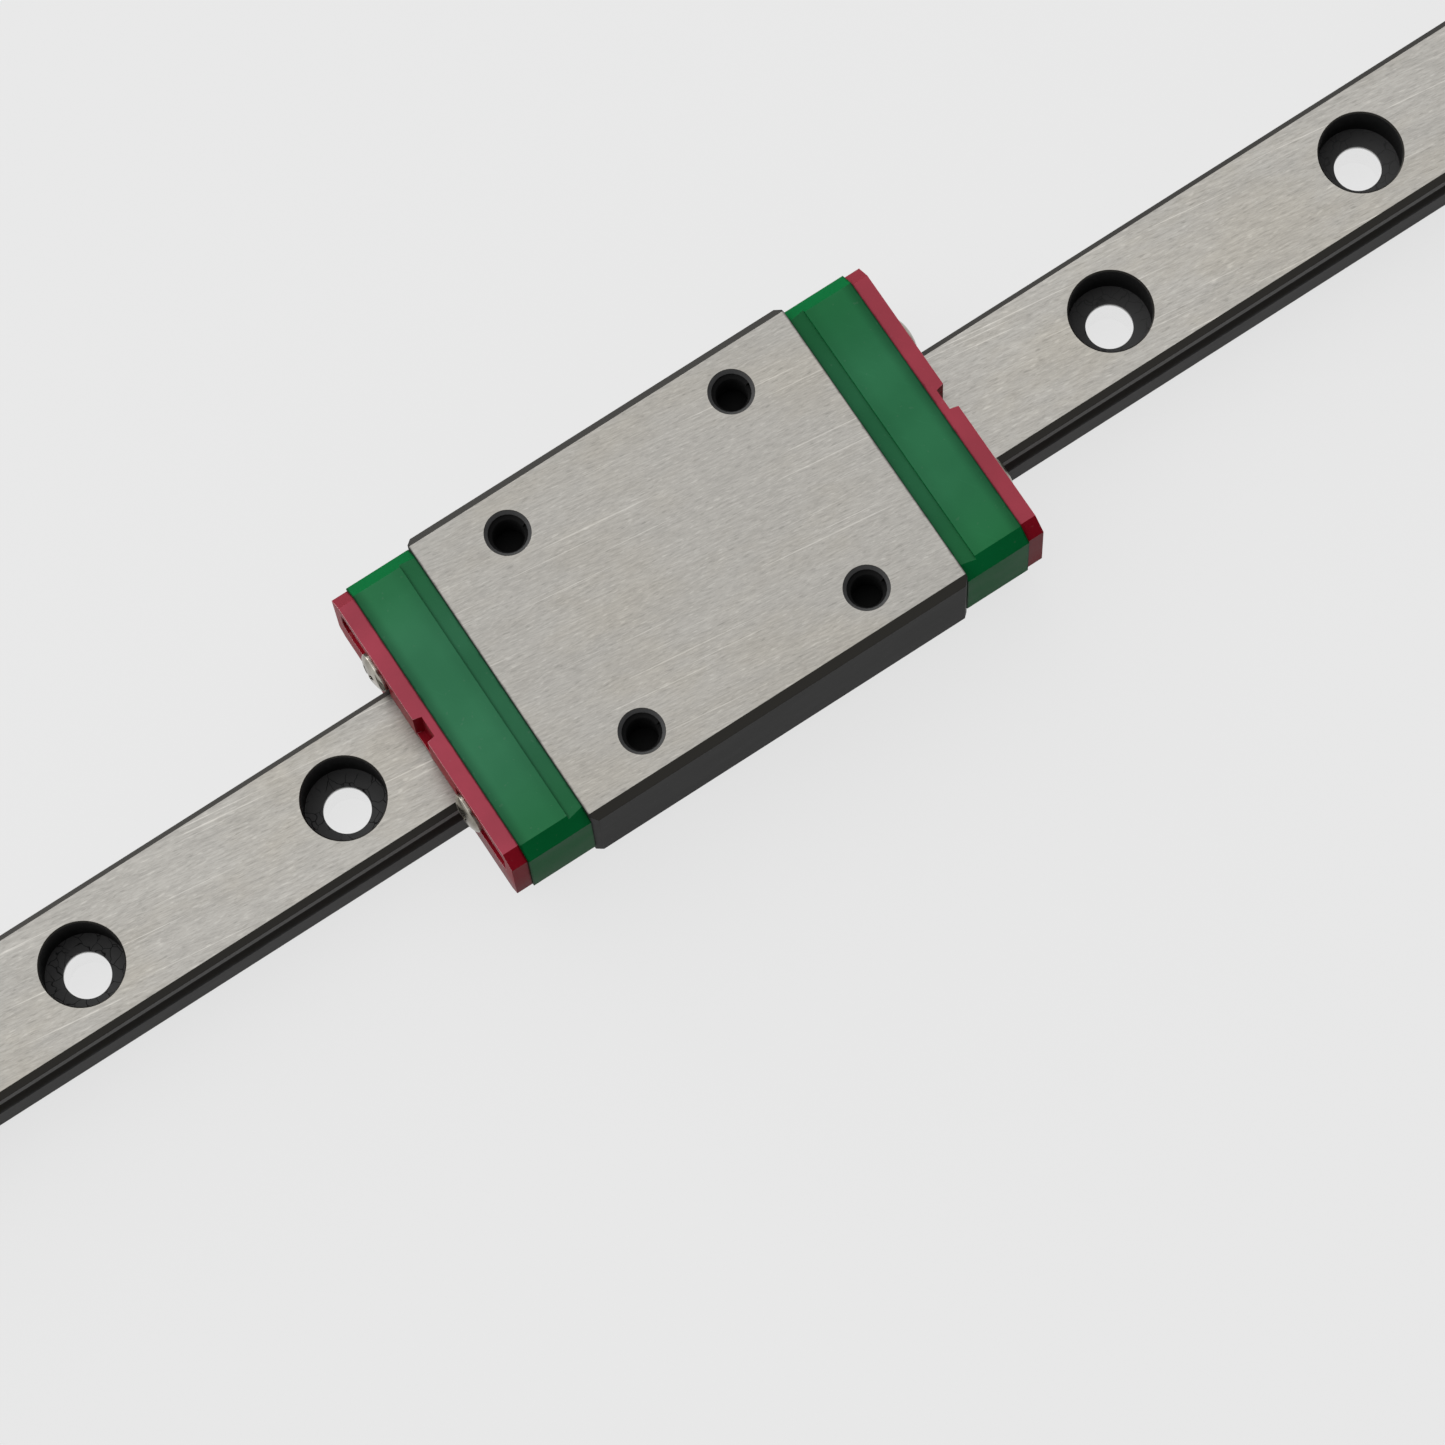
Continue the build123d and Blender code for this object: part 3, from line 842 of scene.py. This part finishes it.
def end_tree(tree, result, shape, material):
    solid = add_node(tree, "GeometryNodeRealizeInstances", {0: shape}).outputs[0]
    painted = add_node(tree, "GeometryNodeSetMaterial", {"Geometry": solid, "Material": material})
    tree.links.new(painted.outputs[0], result.inputs["Geometry"])


def moved_by(tree, shape, x=0.0, y=0.0, z=0.0):
    offset = add_node(tree, "ShaderNodeCombineXYZ", {"X": x, "Y": y, "Z": z}).outputs[0]
    return add_node(tree, "GeometryNodeTransform", {"Geometry": shape, "Translation": offset}).outputs[0]


def joined(tree, *shapes):
    join = add_node(tree, "GeometryNodeJoinGeometry")
    for shape in shapes:
        tree.links.new(shape, join.inputs[0])
    return join.outputs[0]


def build_stepped_holes():
    inputs = [
        ("Geometry", "NodeSocketGeometry", None), ("Material", "NodeSocketMaterial", None),
        ("Count", "NodeSocketInt", 10), ("Pitch", float_socket, 0.015), ("Top", float_socket, 0.0048),
        ("Hole Radius", float_socket, 0.0012), ("Bore Radius", float_socket, 0.0021),
        ("Bore Depth", float_socket, 0.0023), ("Rim", float_socket, 0.0001),
    ]
    outputs = [("Geometry", "NodeSocketGeometry")]
    tree, given, result = new_tree("stepped_holes", "GeometryNodeTree", inputs, outputs)
    spare = 1 * mm
    tall = calculate(tree, "ADD", calculate(tree, "MULTIPLY", given["Top"], 2.0), 2 * spare)
    sockets = {"Vertices": round_steps, "Radius": given["Hole Radius"], "Depth": tall}
    drill = add_node(tree, "GeometryNodeMeshCylinder", sockets).outputs["Mesh"]
    bore_tall = calculate(tree, "ADD", given["Bore Depth"], spare)
    sockets = {"Vertices": round_steps, "Radius": given["Bore Radius"], "Depth": bore_tall}
    bore = add_node(tree, "GeometryNodeMeshCylinder", sockets).outputs["Mesh"]
    bore_rise = calculate(tree, "SUBTRACT", given["Top"], given["Bore Depth"])
    bore_rise = calculate(tree, "MULTIPLY_ADD", bore_tall, 0.5, bore_rise)
    twice_rim = calculate(tree, "MULTIPLY", given["Rim"], 2.0)
    narrow = calculate(tree, "SUBTRACT", given["Bore Radius"], given["Rim"])
    wide = calculate(tree, "ADD", given["Bore Radius"], given["Rim"])
    wide = calculate(tree, "ADD", wide, given["Rim"])
    sockets = {"Vertices": round_steps, "Radius Bottom": narrow, "Radius Top": wide}
    sockets |= {"Depth": calculate(tree, "ADD", twice_rim, given["Rim"])}
    cone = add_node(tree, "GeometryNodeMeshCone", sockets).outputs["Mesh"]
    cone_rise = calculate(tree, "SUBTRACT", given["Top"], twice_rim)
    cutter = joined(tree, drill, moved_by(tree, bore, z=bore_rise), moved_by(tree, cone, z=cone_rise))
    first = calculate(tree, "MULTIPLY", given["Pitch"], calculate(tree, "SUBTRACT", given["Count"], 1.0))
    start = add_node(tree, "ShaderNodeCombineXYZ", {"X": calculate(tree, "MULTIPLY", first, -0.5)}).outputs[0]
    step = add_node(tree, "ShaderNodeCombineXYZ", {"X": given["Pitch"]}).outputs[0]
    sockets = {"Count": given["Count"], "Start Location": start, "Offset": step}
    line = add_node(tree, "GeometryNodeMeshLine", sockets, mode="OFFSET").outputs[0]
    cutters = add_node(tree, "GeometryNodeInstanceOnPoints", {"Points": line, "Instance": cutter}).outputs[0]
    cutters = add_node(tree, "GeometryNodeRealizeInstances", {0: cutters}).outputs[0]
    sockets = {"Mesh 1": given["Geometry"], "Mesh 2": cutters, "Self Intersection": True}
    drilled = add_node(tree, "GeometryNodeMeshBoolean", sockets, operation="DIFFERENCE", solver="EXACT")
    end_tree(tree, result, drilled.outputs[0], given["Material"])
    return tree


hole_count = int(rail_length / hole_pitch + 0.001)
hole_sizes = {"Count": hole_count, "Pitch": hole_pitch, "Top": rail_height, "Material": rail_steel}
hole_sizes |= {"Hole Radius": rail_hole_radius, "Bore Radius": bore_radius}
hole_sizes |= {"Bore Depth": bore_depth, "Rim": 0.07 * mm}
settle(rail_bar, build_stepped_holes(), hole_sizes)
round_edges(rail_bar, 0.03 * mm)
finish_piece(rail_bar, rail_steel, "rail", "rail_steel", "rail")

# %% [markdown]
# Threads in the four tapped holes are a spiral with a rhombic section. Its inner tip is the thread's
# crest, at the drill's radius, and its outer half lies buried in the wall. The spiral is grown once
# and then instanced on the corners of the bolt pattern.


# %% Geometry Nodes: threads in the tapped holes
def build_threads():
    inputs = [
        ("Geometry", "NodeSocketGeometry", None), ("Material", "NodeSocketMaterial", None),
        ("Long", float_socket, 0.013), ("Wide", float_socket, 0.012), ("Middle", float_socket, 0.0),
        ("Floor", float_socket, 0.0055), ("Pitch", float_socket, 0.0004), ("Turns", float_socket, 5.0),
        ("Outer Radius", float_socket, 0.001), ("Depth", float_socket, 0.0002),
    ]
    outputs = [("Geometry", "NodeSocketGeometry")]
    tree, given, result = new_tree("threads", "GeometryNodeTree", inputs, outputs)
    rise = calculate(tree, "MULTIPLY", given["Pitch"], given["Turns"])
    sockets = {"Resolution": 40, "Rotations": given["Turns"], "Height": rise}
    sockets |= {"Start Radius": given["Outer Radius"], "End Radius": given["Outer Radius"]}
    spiral = add_node(tree, "GeometryNodeCurveSpiral", sockets).outputs[0]
    upright = add_node(tree, "GeometryNodeSetCurveNormal", {"Curve": spiral}, mode="Z_UP").outputs[0]
    flank = calculate(tree, "MULTIPLY", given["Pitch"], 0.45)
    corners = {}
    for number, (across, along) in enumerate(((1, 0), (0, 1), (-1, 0), (0, -1)), start=1):
        x = calculate(tree, "MULTIPLY", given["Depth"], float(across))
        y = calculate(tree, "MULTIPLY", flank, float(along))
        corners[f"Point {number}"] = add_node(tree, "ShaderNodeCombineXYZ", {"X": x, "Y": y}).outputs[0]
    profile = add_node(tree, "GeometryNodeCurvePrimitiveQuadrilateral", corners, mode="POINTS").outputs[0]
    sockets = {"Curve": upright, "Profile Curve": profile, "Fill Caps": True}
    thread = add_node(tree, "GeometryNodeCurveToMesh", sockets).outputs[0]
    sockets = {"Size X": given["Long"], "Size Y": given["Wide"], "Vertices X": 2, "Vertices Y": 2}
    grid = add_node(tree, "GeometryNodeMeshGrid", sockets).outputs[0]
    seats = moved_by(tree, grid, x=given["Middle"], z=given["Floor"])
    threads = add_node(tree, "GeometryNodeInstanceOnPoints", {"Points": seats, "Instance": thread}).outputs[0]
    end_tree(tree, result, threads, given["Material"])
    return tree


thread_floor = tap_floor + tap_slack
thread_turns = 5.0
thread_depth = 0.2 * mm
threads = link("tapped_threads", bpy.data.meshes.new("tapped_threads"))
thread_sizes = {"Material": block_steel, "Long": tap_long, "Wide": tap_wide, "Middle": carriage_x}
thread_sizes |= {"Floor": thread_floor, "Turns": thread_turns, "Depth": thread_depth}
thread_sizes |= {"Outer Radius": thread_radius}
settle(threads, build_threads(), thread_sizes)
threads.data.shade_smooth()
threads.data.set_sharp_from_angle(angle=radians(28))
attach(threads, "carriage")
print("thread faces:", len(threads.data.polygons))

# %% [markdown]
# Each seal is held by two small pan-head screws with a cross recess. Their heads stand a little
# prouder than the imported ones, as they do in the photograph. A screw is a turned part, so half of
# its outline, from the middle of the head to the tip, is drawn once and lathed round its axis.

# %% Lathed screw
screw_low, screw_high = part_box("seal_screw_right_far")
head_rise = 0.24 * mm
screw_end = screw_high[0] + head_rise
screw_y = (screw_low[1] + screw_high[1]) / 2
screw_z = (screw_low[2] + screw_high[2]) / 2
head_radius = (screw_high[1] - screw_low[1]) / 2
head_thickness = 0.7 * mm + head_rise
shank_radius = 0.6 * mm
screw_tip = screw_low[0] - screw_end
tip_chamfer = 0.2 * mm
crown_curve = 0.36 * mm
crown_turn = radians(84)


def screw_profile(steps=8):
    crown = [(0.0, 0.0)]
    for step in range(1, steps + 1):
        turn = crown_turn * step / steps
        crown.append((-crown_curve * (1 - cos(turn)), head_radius * sin(turn) / sin(crown_turn)))
    seat = [(-head_thickness, head_radius), (-head_thickness, shank_radius)]
    tip = [(screw_tip + tip_chamfer, shank_radius), (screw_tip, shank_radius - tip_chamfer)]
    return crown + seat + tip + [(screw_tip, 0.0)]


def lathe(name, profile, steps=48):
    shape = bmesh.new()
    rings = []
    for x, radius in profile:
        if radius == 0.0:
            rings.append([shape.verts.new((x, 0, 0))] * steps)
            continue
        turns = [2 * pi * step / steps for step in range(steps)]
        rings.append([shape.verts.new((x, radius * cos(turn), radius * sin(turn))) for turn in turns])
    for ring, following in zip(rings, rings[1:]):
        for step in range(steps):
            beside = (step + 1) % steps
            corners = [ring[step], ring[beside], following[beside], following[step]]
            shape.faces.new(list(dict.fromkeys(corners)))
    bmesh.ops.recalc_face_normals(shape, faces=shape.faces)
    mesh = bpy.data.meshes.new(name)
    shape.to_mesh(mesh)
    shape.free()
    return link(name, mesh)


seal_screws = lathe("seal_screws", screw_profile())
print("screw length, mm:", round(-screw_tip / mm, 2))

# %% [markdown]
# A tree makes the set of four. It cuts the cross into the head, puts the screw on its four seats,
# turns the left pair round and gives each its own angle from a fixed seed, since no two screws stop
# at the same turn.


# %% Geometry Nodes: cross recess and four seats
def build_screw_set():
    inputs = [
        ("Geometry", "NodeSocketGeometry", None), ("Material", "NodeSocketMaterial", None),
        ("Recess Span", float_socket, 0.0012), ("Recess Width", float_socket, 0.00026),
        ("Recess Depth", float_socket, 0.0004), ("Reach", float_socket, 0.03),
        ("Spread", float_socket, 0.0085), ("Middle", float_socket, 0.0), ("Height", float_socket, 0.005),
        ("Seed", "NodeSocketInt", 3),
    ]
    outputs = [("Geometry", "NodeSocketGeometry")]
    tree, given, result = new_tree("screw_set", "GeometryNodeTree", inputs, outputs)
    deep = calculate(tree, "MULTIPLY", given["Recess Depth"], 2.0)
    slots = []
    for across, up in (("Recess Span", "Recess Width"), ("Recess Width", "Recess Span")):
        size = {"X": deep, "Y": given[across], "Z": given[up]}
        size = add_node(tree, "ShaderNodeCombineXYZ", size).outputs[0]
        slots.append(add_node(tree, "GeometryNodeMeshCube", {"Size": size}).outputs["Mesh"])
    sockets = {"Mesh 1": given["Geometry"], "Mesh 2": joined(tree, *slots), "Self Intersection": True}
    cut = add_node(tree, "GeometryNodeMeshBoolean", sockets, operation="DIFFERENCE", solver="EXACT")
    sockets = {"Size X": given["Reach"], "Size Y": given["Spread"], "Vertices X": 2, "Vertices Y": 2}
    grid = add_node(tree, "GeometryNodeMeshGrid", sockets).outputs[0]
    place = add_node(tree, "GeometryNodeInputPosition").outputs[0]
    x = add_node(tree, "ShaderNodeSeparateXYZ", {0: place}).outputs["X"]
    half_turn = calculate(tree, "MULTIPLY", calculate(tree, "LESS_THAN", x, 0.0), pi)
    facing = add_node(tree, "ShaderNodeCombineXYZ", {"Z": half_turn}).outputs[0]
    sockets = {"Points": grid, "Instance": cut.outputs[0], "Rotation": facing}
    screws = add_node(tree, "GeometryNodeInstanceOnPoints", sockets).outputs[0]
    sockets = {2: 0.3, 3: 1.3, "Seed": given["Seed"]}
    drawn = add_node(tree, "FunctionNodeRandomValue", sockets, data_type="FLOAT")
    spin = add_node(tree, "ShaderNodeCombineXYZ", {"X": drawn.outputs[1]}).outputs[0]
    screws = add_node(tree, "GeometryNodeRotateInstances", {"Instances": screws, "Rotation": spin}).outputs[0]
    screws = moved_by(tree, screws, x=given["Middle"], z=given["Height"])
    end_tree(tree, result, screws, given["Material"])
    return tree


screw_sizes = {"Material": screw_nickel, "Reach": 2 * (screw_end - carriage_x), "Spread": 2 * screw_y}
screw_sizes |= {"Middle": carriage_x, "Height": screw_z, "Seed": 3}
settle(seal_screws, build_screw_set(), screw_sizes)
round_edges(seal_screws, 0.02 * mm)
screw_nodes = [f"seal_screw_{end}_{side}" for end in ("right", "left") for side in ("far", "near")]
finish_piece(seal_screws, screw_nickel, "carriage", "screw_steel", *screw_nodes)

# %% [markdown]
# The balls run in two closed loops, down the loaded row and back through the block. The loop is a
# rectangle with its ends rounded full, and resampled to the number of balls it gives their places.
# A mirrored copy would turn its balls inside out, so the other side is the same points shifted across.


# %% Geometry Nodes: two circuits of balls
def build_ball_loops():
    inputs = [
        ("Geometry", "NodeSocketGeometry", None), ("Material", "NodeSocketMaterial", None),
        ("Length", float_socket, 0.0218), ("Width", float_socket, 0.00255), ("Balls", "NodeSocketInt", 31),
        ("Ball Radius", float_socket, 0.00075), ("Apart", float_socket, 0.01),
        ("Middle", float_socket, 0.0), ("Height", float_socket, 0.003),
    ]
    outputs = [("Geometry", "NodeSocketGeometry")]
    tree, given, result = new_tree("ball_loops", "GeometryNodeTree", inputs, outputs)
    long = calculate(tree, "ADD", given["Length"], given["Width"])
    sockets = {"Width": long, "Height": given["Width"]}
    box = add_node(tree, "GeometryNodeCurvePrimitiveQuadrilateral", sockets, mode="RECTANGLE").outputs[0]
    turn_radius = calculate(tree, "MULTIPLY", given["Width"], 0.4999)
    sockets = {"Curve": box, "Radius": turn_radius, "Limit Radius": True, "Count": 24}
    loop = add_node(tree, "GeometryNodeFilletCurve", sockets, mode="POLY").outputs[0]
    places = add_node(tree, "GeometryNodeResampleCurve", {"Curve": loop, "Count": given["Balls"]}).outputs[0]
    half_apart = calculate(tree, "MULTIPLY", given["Apart"], 0.5)
    loops = []
    for side in (1.0, -1.0):
        shift = calculate(tree, "MULTIPLY", half_apart, side)
        loops.append(moved_by(tree, places, x=given["Middle"], y=shift, z=given["Height"]))
    sphere = {"Radius": given["Ball Radius"], "Subdivisions": 3}
    ball = add_node(tree, "GeometryNodeMeshIcoSphere", sphere).outputs["Mesh"]
    sockets = {"Points": joined(tree, *loops), "Instance": ball}
    balls = add_node(tree, "GeometryNodeInstanceOnPoints", sockets).outputs[0]
    end_tree(tree, result, balls, given["Material"])
    return tree


far_low, far_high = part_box("ball_circuit_far")
ball_radius = (far_high[2] - far_low[2]) / 2
loop_width = far_high[1] - far_low[1] - 2 * ball_radius
block_length = block_high[0] - block_low[0]
ball_count = 31
balls = link("bearing_balls", bpy.data.meshes.new("bearing_balls"))
ball_sizes = {"Material": ball_steel, "Length": block_length, "Width": loop_width, "Balls": ball_count}
ball_sizes |= {"Ball Radius": ball_radius, "Apart": far_low[1] + far_high[1], "Middle": carriage_x}
ball_sizes |= {"Height": (far_low[2] + far_high[2]) / 2}
settle(balls, build_ball_loops(), ball_sizes)
balls.data.shade_smooth()
finish_piece(balls, ball_steel, "carriage", "ball_steel", "ball_circuit_far", "ball_circuit_near")
